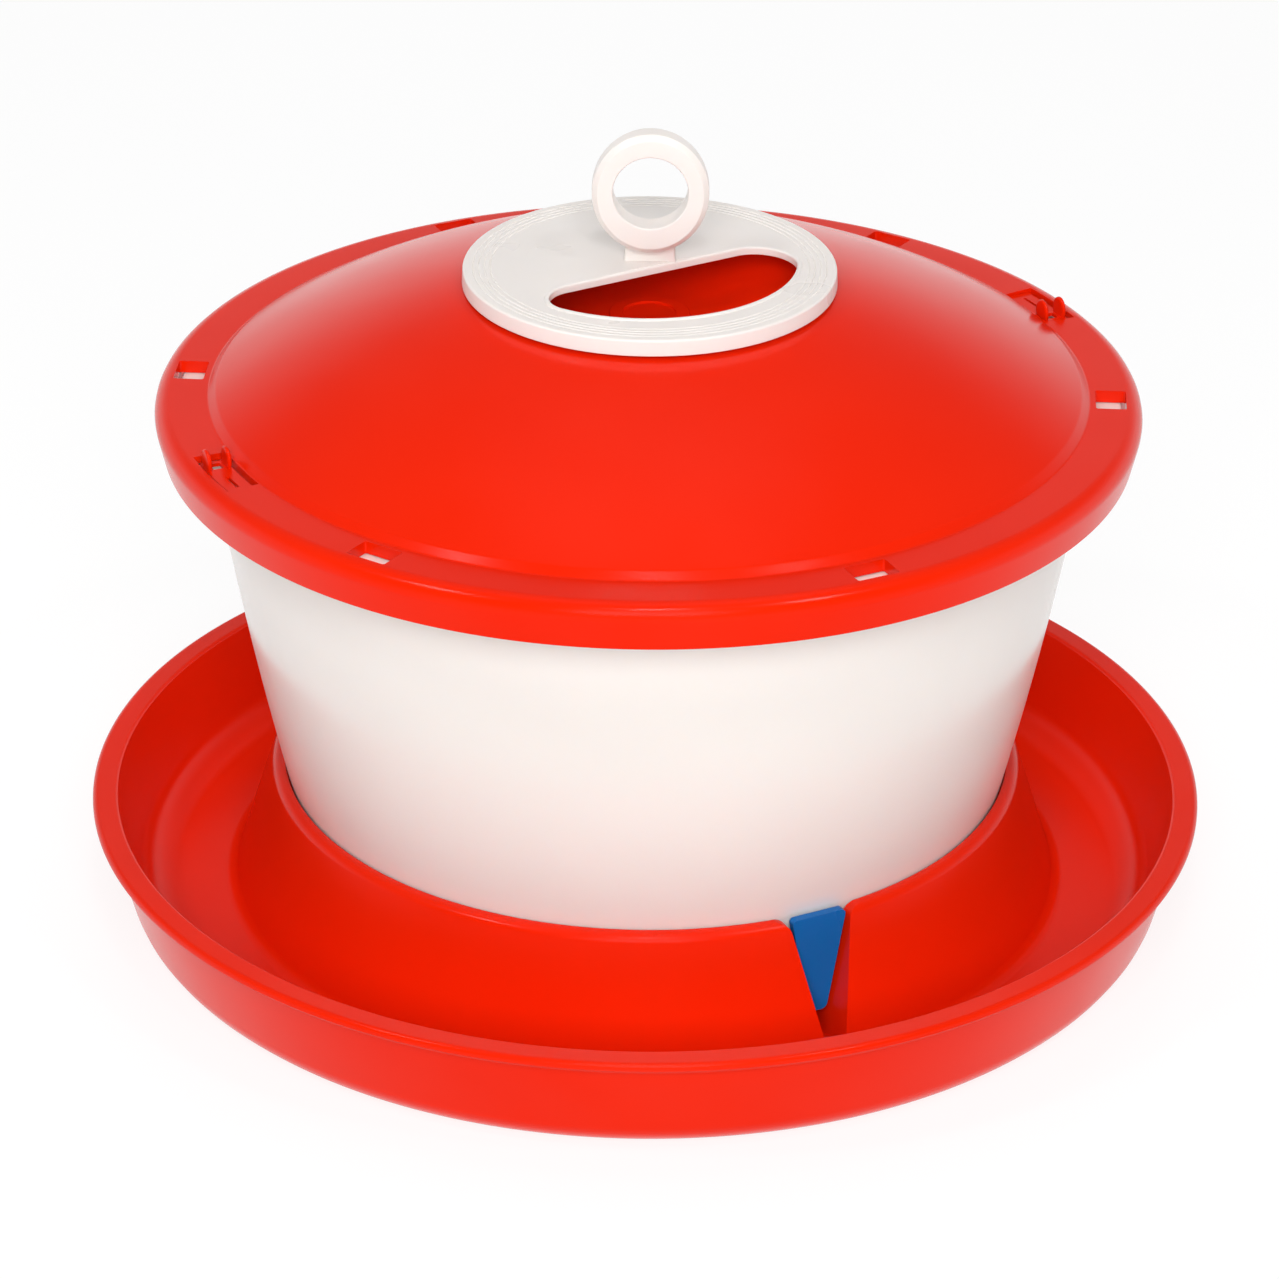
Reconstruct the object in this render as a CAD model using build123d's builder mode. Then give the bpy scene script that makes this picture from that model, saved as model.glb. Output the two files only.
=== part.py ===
from build123d import *
from math import cos, degrees, radians, sin
import os

# Top-fill poultry drinker: a trough tray, a conical water bucket that stands in it,
# a domed lid that turns under lugs on the bucket's rim, and a cap with a hanging ring.
# Origin: on the axis of revolution, on the surface the tray stands on. Front is -Y.
os.makedirs("parts", exist_ok=True)

# ---- driving dimensions, in millimetres and degrees ----

# trough tray
RIM_R = 200.0
RIM_TOP = 42.0
RIM_BAND = 9.0
RIM_BAND_H = 4.5
TRAY_WALL = 3.0
TRAY_FLOOR = 4.5
TRAY_WALL_LEAN = 0.26
RIM_CHAMFER = 2.0
FOOT_IN = 166.0
FOOT_H = 1.5

# raised seat in the middle of the tray
SEAT_TOP = 52.0
SEAT_LEDGE = 44.0
SEAT_LIP_R = 130.5
SEAT_SHOULDER_R = 134.6
SEAT_FOOT_R = 149.8
WELL_R = 98.0
LEDGE_T = 3.0

# water notch, a V that narrows downward, and the blue key that stands in it
NOTCH_AZ = -63.5
NOTCH_HALF_BOTTOM = 3.0
NOTCH_HALF_TOP = 11.6
NOTCH_FLARE = 4.0
KEY_R = 130.9
KEY_T = 3.0
KEY_TOP = 51.8
KEY_BOTTOM = 14.0
KEY_CLEAR = 1.1

# bucket
BUCKET_WALL = 2.2
BUCKET_FLOOR_T = 2.5
BUCKET_R_BOTTOM = 128.2
BUCKET_R_MIDDLE = 142.6
BUCKET_MIDDLE_Z = 112.0
BUCKET_R_TOP = 155.0
BUCKET_RIM_R = 165.0
BUCKET_RIM_TOP = 190.3
BUCKET_RIM_T = 2.5
BUCKET_MOUTH_R = 149.4
LUG_R = 164.7
LUG_W = 4.4

# bayonet between bucket and tray, three mushroom studs in keyhole slots
STUD_R = 112.0
STUD_COUNT = 3
STUD_SHANK = 4.0
STUD_HEAD = 9.0
KEYHOLE_ENTRY = 11.5
KEYHOLE_SLOT = 5.2
BUCKET_TURN = 40.0

# rotary outlet valve under the bucket's floor
PORT_R = 24.0
PORT_D = 12.0
PORT_AZ = 90.0
SEAL_T = 1.5
DISC_R = 38.0
DISC_T = 3.0
DISC_GAP = 0.05
DIP_TUBE_R = 36.0
DIP_TUBE_BOTTOM = 20.0
ARM_W = 14.0
PIN_D = 8.0
PIN_FIT = 0.05

# lid
LID_R = 173.2
LID_FLANGE_TOP = 195.0
LID_EDGE_ROUND = 5.2
LID_T = 2.5
SKIRT_R_BOTTOM = 169.4
SKIRT_BOTTOM = 178.5
SKIRT_T = 2.0
DOME_FOOT_R = 153.4
DOME_SHOULDER_R = 150.6
DOME_SHOULDER = 197.6
DOME_TOP_R = 64.0
DOME_TOP = 233.0
HOOK_COUNT = 6
HOOK_AZ = 56.7
HOOK_W = 12.0
HOOK_IN = 165.5
HOOK_OUT = 168.9
HOOK_TOP = 186.7
HOOK_T = 3.0
LID_TURN = 24.0
WINDOW_R = 160.75
WINDOW_RADIAL = 10.6
WINDOW_W = 15.2
COLLAR_T = 1.2
COLLAR_BOTTOM = 190.6
GASKET_IN = 147.6
GASKET_OUT = 152.6
GASKET_H = 2.2

# spring tongues in the lid's flange
TONGUE_ROOT_AZ = 32.7
TONGUE_SPAN = 9.4
TONGUE_END_GAP = 1.0
TONGUE_IN = 155.4
TONGUE_OUT = 164.3
TONGUE_SLIT = 1.4
TONGUE_T = 1.2
TONGUE_ROOT_GAP = 0.25
FIN_AZ = 24.8
FIN_H = 5.4
FIN_L = 8.0
FIN_T = 1.8

# hanger cap
CAP_R = 64.5
CAP_TOP = 240.0
CAP_SKIRT = 5.8
CAP_PLATE = 2.5
CROWN_R = 50.0
CROWN = 1.6
FINGER_TURN = 30.0
FINGER_R = 52.3
FINGER_CENTRE = (1.6, 5.4)
FINGER_CHORD = 4.2
FINGER_TIP_LEFT = 10.0
FINGER_TIP_RIGHT = 13.0
LIP_W = 1.9
LIP_H = 0.5
RING_Z = 267.7
RING_HALF_W = 20.1
RING_HALF_H = 21.6
RING_HOLE_Z = 268.4
RING_HOLE_R = 12.9
RING_T = 10.0
RING_CHAMFER = 1.9
NECK_W = 17.5
NECK_FRONT = 0.2


def around(angle, radius):
    """Plan position at an azimuth and a radius."""
    return (radius * cos(radians(angle)), radius * sin(radians(angle)))


def radial_plane(angle, radius):
    """Plane that faces outward at an azimuth: its x runs along the circle, its y is up."""
    x, y = around(angle, radius)
    outward = (cos(radians(angle)), sin(radians(angle)), 0)
    return Plane(origin=(x, y, 0), x_dir=(-outward[1], outward[0], 0), z_dir=outward)


def round_corner(outline, radius, height, size):
    """Round the corner of a section that is nearest to a radius and a height."""
    fillet(outline.vertices().sort_by_distance((radius, height))[0], size)


def notch_half(height):
    """Half width of the water notch at a height above the ground."""
    share = (height - TRAY_FLOOR) / (SEAT_TOP - 1.5 - TRAY_FLOOR)
    return NOTCH_HALF_BOTTOM + share * (NOTCH_HALF_TOP - NOTCH_HALF_BOTTOM)


# ---- trough tray: one red moulding with rim band, raised seat and central well ----

wall_top_in = RIM_R - RIM_BAND
wall_foot_in = wall_top_in - (RIM_TOP - TRAY_FLOOR) * TRAY_WALL_LEAN
band_foot = RIM_TOP - RIM_BAND_H
wall_top_out = wall_top_in + TRAY_WALL + 1.6
wall_foot_out = wall_top_out - band_foot * TRAY_WALL_LEAN
seat_inside = SEAT_SHOULDER_R + (SEAT_TOP - SEAT_LEDGE + LEDGE_T) * 0.32 - TRAY_WALL
foot_inside = SEAT_FOOT_R - TRAY_WALL

with BuildPart() as notch_walls:
    with BuildSketch(radial_plane(NOTCH_AZ, WELL_R)) as wall_outline:
        with BuildLine():
            Polyline(
                (-NOTCH_HALF_BOTTOM - TRAY_WALL, FOOT_H),
                (NOTCH_HALF_BOTTOM + TRAY_WALL, FOOT_H),
                (notch_half(SEAT_LEDGE) + TRAY_WALL, SEAT_LEDGE),
                (-notch_half(SEAT_LEDGE) - TRAY_WALL, SEAT_LEDGE),
                close=True,
            )
        make_face()
    extrude(amount=60)
    with BuildSketch(Plane.XZ) as seat_envelope:
        with BuildLine():
            Polyline(
                (0, 0),
                (SEAT_FOOT_R + 1, 0),
                (SEAT_FOOT_R - 1, TRAY_FLOOR),
                (SEAT_SHOULDER_R - 0.5, SEAT_TOP),
                (0, SEAT_TOP),
                close=True,
            )
        make_face()
    revolve(axis=Axis.Z, mode=Mode.INTERSECT)

with BuildPart() as trough_base:
    with BuildSketch(Plane.XZ) as tray_section:
        with BuildLine():
            Polyline(
                (0, TRAY_FLOOR),
                (WELL_R - 1, TRAY_FLOOR),
                (WELL_R + 1, SEAT_LEDGE),
                (SEAT_LIP_R - 0.4, SEAT_LEDGE),
                (SEAT_LIP_R, SEAT_TOP),
                (SEAT_SHOULDER_R, SEAT_TOP),
                (SEAT_FOOT_R, TRAY_FLOOR),
                (wall_foot_in, TRAY_FLOOR),
                (wall_top_in, RIM_TOP),
                (RIM_R, RIM_TOP),
                (RIM_R, band_foot + RIM_CHAMFER),
                (RIM_R - RIM_CHAMFER, band_foot),
                (wall_top_out, band_foot),
                (wall_foot_out, 0),
                (FOOT_IN, 0),
                (FOOT_IN - 1, FOOT_H),
                (foot_inside, FOOT_H),
                (seat_inside, SEAT_LEDGE - LEDGE_T),
                (WELL_R + 1 + TRAY_WALL, SEAT_LEDGE - LEDGE_T),
                (WELL_R - 1 + TRAY_WALL, FOOT_H),
                (0, FOOT_H),
                close=True,
            )
        make_face()
        round_corner(tray_section, SEAT_SHOULDER_R, SEAT_TOP, 4)
        round_corner(tray_section, SEAT_FOOT_R, TRAY_FLOOR, 5)
        round_corner(tray_section, wall_foot_in, TRAY_FLOOR, 13)
        round_corner(tray_section, wall_foot_out, 0, 13)
        round_corner(tray_section, RIM_R, RIM_TOP, 2)
        round_corner(tray_section, wall_top_in, RIM_TOP, 1.5)
    revolve(axis=Axis.Z)
    add(notch_walls.part)
    # the notch and the channel behind it, open from the well to the trough
    with BuildSketch(radial_plane(NOTCH_AZ, WELL_R - 4)) as notch_outline:
        with BuildLine():
            Polyline(
                (-NOTCH_HALF_BOTTOM, TRAY_FLOOR),
                (NOTCH_HALF_BOTTOM, TRAY_FLOOR),
                (NOTCH_HALF_TOP, SEAT_TOP - 1.5),
                (NOTCH_HALF_TOP + 5, SEAT_TOP + 0.3),
                (NOTCH_HALF_TOP + 5, SEAT_TOP + 5),
                (-NOTCH_HALF_TOP - 5, SEAT_TOP + 5),
                (-NOTCH_HALF_TOP - 5, SEAT_TOP + 0.3),
                (-NOTCH_HALF_TOP, SEAT_TOP - 1.5),
                close=True,
            )
        make_face()
        shoulders = notch_outline.vertices().filter_by(
            lambda v: abs(v.Y - SEAT_TOP + 1.5) < 0.1
        )
        fillet(shoulders, NOTCH_FLARE)
    extrude(amount=60, mode=Mode.SUBTRACT)
    # keyhole slots in the ledge for the bucket's studs
    for k in range(STUD_COUNT):
        start = k * 360 / STUD_COUNT
        slot_path = CenterArc((0, 0), STUD_R, start, BUCKET_TURN, mode=Mode.PRIVATE)
        with BuildSketch(Plane.XY.offset(SEAT_LEDGE)):
            SlotArc(slot_path, KEYHOLE_SLOT)
            with Locations(around(start, STUD_R)):
                Circle(KEYHOLE_ENTRY / 2)
        extrude(amount=-LEDGE_T - 1, mode=Mode.SUBTRACT)

trough_base.part.label = "trough_base"
export_step(trough_base.part, "parts/trough_base.step")

# ---- bucket: translucent white moulding with a flat rim, six lugs and two outlet ports ----

floor_top = SEAT_LEDGE + BUCKET_FLOOR_T
rim_under = BUCKET_RIM_TOP - BUCKET_RIM_T

with BuildPart() as reservoir_bucket:
    with BuildSketch(Plane.XZ) as bucket_section:
        with BuildLine():
            Line((0, SEAT_LEDGE), (BUCKET_R_BOTTOM, SEAT_LEDGE))
            ThreePointArc(
                (BUCKET_R_BOTTOM, SEAT_LEDGE),
                (BUCKET_R_MIDDLE, BUCKET_MIDDLE_Z),
                (BUCKET_R_TOP, rim_under),
            )
            Polyline(
                (BUCKET_R_TOP, rim_under),
                (BUCKET_RIM_R, rim_under),
                (BUCKET_RIM_R, BUCKET_RIM_TOP),
                (BUCKET_MOUTH_R, BUCKET_RIM_TOP),
                (BUCKET_MOUTH_R, rim_under),
                (BUCKET_R_TOP - BUCKET_WALL, rim_under - 1.5),
            )
            ThreePointArc(
                (BUCKET_R_TOP - BUCKET_WALL, rim_under - 1.5),
                (BUCKET_R_MIDDLE - BUCKET_WALL, BUCKET_MIDDLE_Z),
                (BUCKET_R_BOTTOM - BUCKET_WALL + 0.4, floor_top),
            )
            Polyline((BUCKET_R_BOTTOM - BUCKET_WALL + 0.4, floor_top), (0, floor_top), (0, SEAT_LEDGE))
        make_face()
        round_corner(bucket_section, BUCKET_R_BOTTOM, SEAT_LEDGE, 4)
        round_corner(bucket_section, BUCKET_R_BOTTOM - 1.8, floor_top, 3)
        round_corner(bucket_section, BUCKET_RIM_R, BUCKET_RIM_TOP, 0.8)
    revolve(axis=Axis.Z)
    # lugs that the lid's hooks turn under, each ending in a stop
    for k in range(HOOK_COUNT):
        middle = HOOK_AZ - LID_TURN + k * 360 / HOOK_COUNT
        lug_path = CenterArc((0, 0), LUG_R, middle - 3.6, 6.4, mode=Mode.PRIVATE)
        with BuildSketch(Plane.XY.offset(BUCKET_RIM_TOP)):
            SlotArc(lug_path, LUG_W)
        extrude(amount=-BUCKET_RIM_T - 0.7)
        with BuildSketch(Plane.XY.offset(rim_under)):
            with Locations(around(middle - 3.4, LUG_R)):
                Rectangle(LUG_W, 1.8, rotation=middle - 3.4)
        extrude(amount=-5)
    # outlet ports and the hole for the valve's pin
    with Locations((0, 0, floor_top)):
        with PolarLocations(PORT_R, 2, start_angle=PORT_AZ):
            Hole(PORT_D / 2, depth=BUCKET_FLOOR_T)
        Hole(PIN_D / 2 + PIN_FIT, depth=BUCKET_FLOOR_T)
    # mushroom studs that hang the tray from the bucket
    for k in range(STUD_COUNT):
        spot = around(k * 360 / STUD_COUNT, STUD_R)
        with BuildSketch(Plane.XY.offset(SEAT_LEDGE)):
            with Locations(spot):
                Circle(STUD_SHANK / 2)
        extrude(amount=-LEDGE_T - 0.5)
        with BuildSketch(Plane.XY.offset(SEAT_LEDGE - LEDGE_T - 0.5)):
            with Locations(spot):
                Circle(STUD_HEAD / 2)
        extrude(amount=-2.5)

reservoir_bucket.part.label = "reservoir_bucket"
export_step(reservoir_bucket.part, "parts/reservoir_bucket.step")

# ---- valve seal: rubber washer under the bucket's floor, with the same two ports ----

seal_bottom = SEAT_LEDGE - SEAL_T

with BuildPart() as valve_seal:
    with BuildSketch(Plane.XY.offset(seal_bottom)):
        Circle(DISC_R - 2)
        Circle(PIN_D / 2 + 2, mode=Mode.SUBTRACT)
        with PolarLocations(PORT_R, 2, start_angle=PORT_AZ):
            Circle(PORT_D / 2, mode=Mode.SUBTRACT)
    extrude(amount=SEAL_T)

valve_seal.part.label = "valve_seal"
export_step(valve_seal.part, "parts/valve_seal.step")

# ---- valve disc: blue moulding with ports, dip tube, arm and the key in the notch ----

disc_top = seal_bottom - DISC_GAP
disc_bottom = disc_top - DISC_T
key_half_top = notch_half(KEY_TOP - 2) - KEY_CLEAR
key_half_bottom = notch_half(KEY_BOTTOM) - KEY_CLEAR

with BuildPart() as valve_disc:
    with BuildSketch(Plane.XY.offset(disc_bottom)):
        Circle(DISC_R)
    extrude(amount=DISC_T)
    with BuildSketch(Plane.XY.offset(DIP_TUBE_BOTTOM)):
        Circle(DIP_TUBE_R)
        Circle(DIP_TUBE_R - 2.5, mode=Mode.SUBTRACT)
    extrude(amount=disc_bottom - DIP_TUBE_BOTTOM)
    # arm and its stiffening rib
    with BuildSketch(Plane(origin=(0, 0, disc_bottom), x_dir=(*around(NOTCH_AZ, 1), 0))):
        with Locations((KEY_R / 2 + 18, 0)):
            Rectangle(KEY_R - 34, ARM_W)
    extrude(amount=DISC_T)
    with BuildSketch(Plane(origin=(0, 0, disc_bottom), x_dir=(*around(NOTCH_AZ, 1), 0))):
        with Locations((KEY_R / 2 + 18, 0)):
            Rectangle(KEY_R - 34, 2.5)
    extrude(amount=-8)
    # tapered key, set just outside the bucket's foot
    with BuildSketch(radial_plane(NOTCH_AZ, KEY_R)) as key_outline:
        with BuildLine():
            Polyline(
                (-key_half_bottom, KEY_BOTTOM),
                (key_half_bottom, KEY_BOTTOM),
                (key_half_top, KEY_TOP),
                (-key_half_top, KEY_TOP),
                close=True,
            )
        make_face()
        fillet(key_outline.vertices().group_by(Axis.Y)[0], 2.6)
        fillet(key_outline.vertices().group_by(Axis.Y)[-1], 1.6)
    extrude(amount=KEY_T)
    with Locations((0, 0, disc_top)):
        with PolarLocations(PORT_R, 2, start_angle=PORT_AZ + BUCKET_TURN):
            Hole(PORT_D / 2, depth=DISC_T)
        Hole(PIN_D / 2 + PIN_FIT, depth=DISC_T)

valve_disc.part.label = "valve_disc"
export_step(valve_disc.part, "parts/valve_disc.step")

# ---- valve pin: pushed down through the bucket's floor, its lower head holds the disc ----

with BuildPart() as valve_pivot_pin:
    with BuildSketch(Plane.XZ) as pin_section:
        with BuildLine():
            Polyline(
                (0, floor_top + 4),
                (5, floor_top + 4),
                (9, floor_top),
                (PIN_D / 2, floor_top),
                (PIN_D / 2, disc_bottom - 0.3),
                (6, disc_bottom - 0.9),
                (4.4, disc_bottom - 4),
                (0, disc_bottom - 4),
                close=True,
            )
        make_face()
    revolve(axis=Axis.Z)

valve_pivot_pin.part.label = "valve_pivot_pin"
export_step(valve_pivot_pin.part, "parts/valve_pivot_pin.step")

# ---- lid: glossy red dome with a flat flange, a skirt and six inward hooks ----

flange_under = LID_FLANGE_TOP - LID_T
skirt_in_foot = SKIRT_R_BOTTOM - SKIRT_T
rib_in = GASKET_IN - 2.4
groove_wall_out = GASKET_OUT + 1.4
cap_bottom = CAP_TOP - CAP_SKIRT

with BuildPart() as lid_shell:
    with BuildSketch(Plane.XZ) as lid_section:
        with BuildLine():
            Polyline((0, 219.6), (0, 222), (9.2, 222), (9.2, 222.8), (14, 222.8), (14, 222))
            ThreePointArc((14, 222), (40, 225.4), (57.6, 234))
            Polyline(
                (57.6, 234),
                (57.6, cap_bottom + 2.1),
                (60.2, cap_bottom + 2.1),
                (60.2, cap_bottom + 1.4),
                (60.8, cap_bottom + 1.0),
                (60.8, cap_bottom + 0.7),
                (60.2, cap_bottom + 0.5),
                (60.2, DOME_TOP + 0.3),
                (DOME_TOP_R, DOME_TOP),
            )
            ThreePointArc((DOME_TOP_R, DOME_TOP), (109.0, 218.4), (DOME_SHOULDER_R, DOME_SHOULDER))
            Polyline(
                (DOME_SHOULDER_R, DOME_SHOULDER),
                (DOME_FOOT_R, LID_FLANGE_TOP),
                (LID_R, LID_FLANGE_TOP),
                (SKIRT_R_BOTTOM, SKIRT_BOTTOM),
                (skirt_in_foot, SKIRT_BOTTOM),
                (skirt_in_foot + 1.7, flange_under - 3),
                (skirt_in_foot, flange_under),
                (groove_wall_out, flange_under),
                (groove_wall_out, COLLAR_BOTTOM),
                (GASKET_OUT + 0.4, COLLAR_BOTTOM),
                (GASKET_OUT + 0.4, flange_under),
                (GASKET_IN - 0.3, flange_under),
                (GASKET_IN - 0.3, 184),
                (rib_in, 184),
                (rib_in, 196.2),
            )
            ThreePointArc((rib_in, 196.2), (108.6, 216.1), (63.3, 230.7))
            ThreePointArc((63.3, 230.7), (41, 222.9), (14, 219.6))
            Line((14, 219.6), (0, 219.6))
        make_face()
        round_corner(lid_section, LID_R, LID_FLANGE_TOP, LID_EDGE_ROUND)
        round_corner(lid_section, DOME_FOOT_R, LID_FLANGE_TOP, 1.2)
        round_corner(lid_section, DOME_SHOULDER_R, DOME_SHOULDER, 5)
    revolve(axis=Axis.Z)
    # hooks that turn under the bucket's lugs
    with BuildSketch(Plane.XY.offset(HOOK_TOP)):
        with PolarLocations((HOOK_IN + HOOK_OUT) / 2, HOOK_COUNT, start_angle=HOOK_AZ):
            Rectangle(HOOK_OUT - HOOK_IN, HOOK_W)
    extrude(amount=-HOOK_T)
    # moulding windows over the hooks, each with a short collar under the flange
    with BuildSketch(Plane.XY.offset(flange_under)):
        with PolarLocations(WINDOW_R + COLLAR_T / 4, HOOK_COUNT, start_angle=HOOK_AZ):
            Rectangle(WINDOW_RADIAL + 1.5 * COLLAR_T, WINDOW_W + 2 * COLLAR_T)
    extrude(amount=COLLAR_BOTTOM - flange_under)
    with BuildSketch(Plane.XY.offset(LID_FLANGE_TOP + 4)) as window_outlines:
        with PolarLocations(WINDOW_R, HOOK_COUNT, start_angle=HOOK_AZ):
            Rectangle(WINDOW_RADIAL, WINDOW_W)
        fillet(window_outlines.vertices(), 0.8)
    extrude(amount=COLLAR_BOTTOM - LID_FLANGE_TOP - 5, mode=Mode.SUBTRACT)
    # openings around the two spring tongues
    for side in (0, 180):
        root = TONGUE_ROOT_AZ + side
        free_end = root - TONGUE_SPAN - TONGUE_END_GAP
        with BuildSketch(Plane.XY.offset(LID_FLANGE_TOP + 4)) as tongue_opening:
            with BuildLine():
                inner = CenterArc((0, 0), TONGUE_IN - TONGUE_SLIT, free_end, root - free_end)
                outer = CenterArc((0, 0), TONGUE_OUT + TONGUE_SLIT, free_end, root - free_end)
                Line(inner @ 0, outer @ 0)
                Line(inner @ 1, outer @ 1)
            make_face()
        extrude(amount=-LID_T - 4, mode=Mode.SUBTRACT)

lid_shell.part.label = "lid_shell"
export_step(lid_shell.part, "parts/lid_shell.step")

# ---- spring tongues: strips of the flange with two finger fins each ----

tongue_middle_r = (TONGUE_IN + TONGUE_OUT) / 2
root_gap_deg = degrees(TONGUE_ROOT_GAP / tongue_middle_r)


def make_tongue(side):
    """One tongue at its place in the flange; side is 0 (rear right) or 180 (front left)."""
    root = TONGUE_ROOT_AZ + side - root_gap_deg
    free_end = TONGUE_ROOT_AZ + side - TONGUE_SPAN
    fin_az = FIN_AZ + side
    slot_path = CenterArc((0, 0), tongue_middle_r, root - 4.5, 3.2, mode=Mode.PRIVATE)
    with BuildPart() as tongue:
        with BuildSketch(Plane.XY.offset(flange_under)):
            with BuildLine():
                inner = CenterArc((0, 0), TONGUE_IN, free_end, root - free_end)
                outer = CenterArc((0, 0), TONGUE_OUT, free_end, root - free_end)
                Line(inner @ 0, outer @ 0)
                Line(inner @ 1, outer @ 1)
            make_face()
            SlotArc(slot_path, 1.2, mode=Mode.SUBTRACT)
            with Locations(around(fin_az, tongue_middle_r)):
                Rectangle(3.6, 4.4, rotation=fin_az, mode=Mode.SUBTRACT)
        extrude(amount=TONGUE_T)
        # rounded fins, pinched between finger and thumb to lift the tongue
        for fin_r in (TONGUE_IN + 0.05 + FIN_T, TONGUE_OUT - 0.05):
            fin_plane = radial_plane(fin_az, fin_r)
            with BuildSketch(fin_plane) as fin_outline:
                with Locations((0, LID_FLANGE_TOP + FIN_H / 2 - 2)):
                    Ellipse(FIN_L / 2, FIN_H / 2 + 2)
                with Locations((0, flange_under - 4)):
                    Rectangle(FIN_L + 1, 10, mode=Mode.SUBTRACT)
            extrude(amount=-FIN_T)
    return tongue.part


latch_tongue_rear = make_tongue(0)
latch_tongue_rear.label = "latch_tongue_rear"
export_step(latch_tongue_rear, "parts/latch_tongue_rear.step")

latch_tongue_front = make_tongue(180)
latch_tongue_front.label = "latch_tongue_front"
export_step(latch_tongue_front, "parts/latch_tongue_front.step")

# ---- lid gasket: rubber ring held in the lid, pressed on the bucket's rim ----

with BuildPart() as lid_gasket:
    with BuildSketch(Plane.XY.offset(BUCKET_RIM_TOP)):
        Circle(GASKET_OUT)
        Circle(GASKET_IN, mode=Mode.SUBTRACT)
    extrude(amount=GASKET_H)

lid_gasket.part.label = "lid_gasket"
export_step(lid_gasket.part, "parts/lid_gasket.step")

# ---- hanger cap: white disc with a half-moon finger opening and an upright ring ----

plate_under = CAP_TOP - CAP_PLATE
plate_r = CAP_R - 3.2


def crown_arc(height):
    """Arc of the cap's crown over a height, from the axis out to where the plate runs flat."""
    return ThreePointArc((0, height + CROWN), (26, height + 0.73 * CROWN), (CROWN_R, height))


def half_moon(grow):
    """Finger opening, grown by a margin: a round front cut off by a straight back edge."""
    turned = Plane(origin=(0, 0, plate_under), x_dir=(*around(FINGER_TURN, 1), 0))
    with BuildSketch(turned) as outline:
        with Locations(FINGER_CENTRE):
            Circle(FINGER_R + grow)
        with Locations((0, -FINGER_CHORD - 50 + grow)):
            Rectangle(200, 100, mode=Mode.INTERSECT)
        fillet(outline.vertices().sort_by(Axis.X)[0], FINGER_TIP_LEFT + grow)
        fillet(outline.vertices().sort_by(Axis.X)[-1], FINGER_TIP_RIGHT + grow)
    return outline.sketch


# raised lip round the finger opening, as high over the crown as over the flat
with BuildPart() as finger_lip:
    with BuildSketch(Plane.XZ) as lip_section:
        with BuildLine():
            crown_arc(CAP_TOP + LIP_H)
            Polyline(
                (CROWN_R, CAP_TOP + LIP_H),
                (plate_r, CAP_TOP + LIP_H),
                (plate_r, plate_under),
                (CROWN_R, plate_under),
            )
            crown_arc(plate_under)
            Line((0, plate_under + CROWN), (0, CAP_TOP + LIP_H + CROWN))
        make_face()
    revolve(axis=Axis.Z)
    extrude(half_moon(LIP_W), amount=CAP_PLATE + 3, mode=Mode.INTERSECT)

with BuildPart() as hanger_cap:
    with BuildSketch(Plane.XZ) as cap_section:
        with BuildLine():
            crown_arc(CAP_TOP)
            Polyline(
                (CROWN_R, CAP_TOP),
                (CAP_R, CAP_TOP),
                (CAP_R + 0.3, cap_bottom),
                (60.5, cap_bottom),
                (60.5, cap_bottom + 0.4),
                (plate_r, cap_bottom + 0.8),
                (plate_r, plate_under),
                (CROWN_R, plate_under),
            )
            crown_arc(plate_under)
            Line((0, plate_under + CROWN), (0, CAP_TOP + CROWN))
        make_face()
        round_corner(cap_section, CAP_R, CAP_TOP, 0.9)
    revolve(axis=Axis.Z)
    add(finger_lip.part)
    extrude(half_moon(0), amount=CAP_PLATE + 3, mode=Mode.SUBTRACT)
    # four fine grooves near the rim
    with BuildSketch(Plane.XY.offset(CAP_TOP)):
        for groove_r in (55, 57, 59, 61):
            Circle(groove_r + 0.3)
            Circle(groove_r - 0.3, mode=Mode.SUBTRACT)
    extrude(amount=-0.3, mode=Mode.SUBTRACT)
    # short neck between the disc and the ring
    with BuildSketch(Plane.XY.offset(CAP_TOP)):
        with Locations((0, (NECK_FRONT + RING_T / 2) / 2)):
            Rectangle(NECK_W, RING_T / 2 - NECK_FRONT)
    extrude(amount=RING_HOLE_Z - RING_HOLE_R - 3 - CAP_TOP)
    # oval ring with chamfered front and back edges, and its round hole along Y
    with BuildSketch(Plane.XZ.offset(RING_CHAMFER - RING_T / 2)):
        with Locations((0, RING_Z)):
            Ellipse(RING_HALF_W, RING_HALF_H)
    extrude(amount=RING_T - 2 * RING_CHAMFER)
    for side in (-1, 1):
        with BuildSketch(Plane.XZ.offset(side * (RING_T / 2 - RING_CHAMFER))):
            with Locations((0, RING_Z)):
                Ellipse(RING_HALF_W, RING_HALF_H)
        with BuildSketch(Plane.XZ.offset(side * RING_T / 2)):
            with Locations((0, RING_Z)):
                Ellipse(RING_HALF_W - RING_CHAMFER, RING_HALF_H - RING_CHAMFER)
        loft()
    with BuildSketch(Plane.XZ.offset(-RING_T / 2 - 1)):
        with Locations((0, RING_HOLE_Z)):
            Circle(RING_HOLE_R)
    extrude(amount=RING_T + 2, mode=Mode.SUBTRACT)

hanger_cap.part.label = "hanger_cap"
export_step(hanger_cap.part, "parts/hanger_cap.step")
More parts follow.
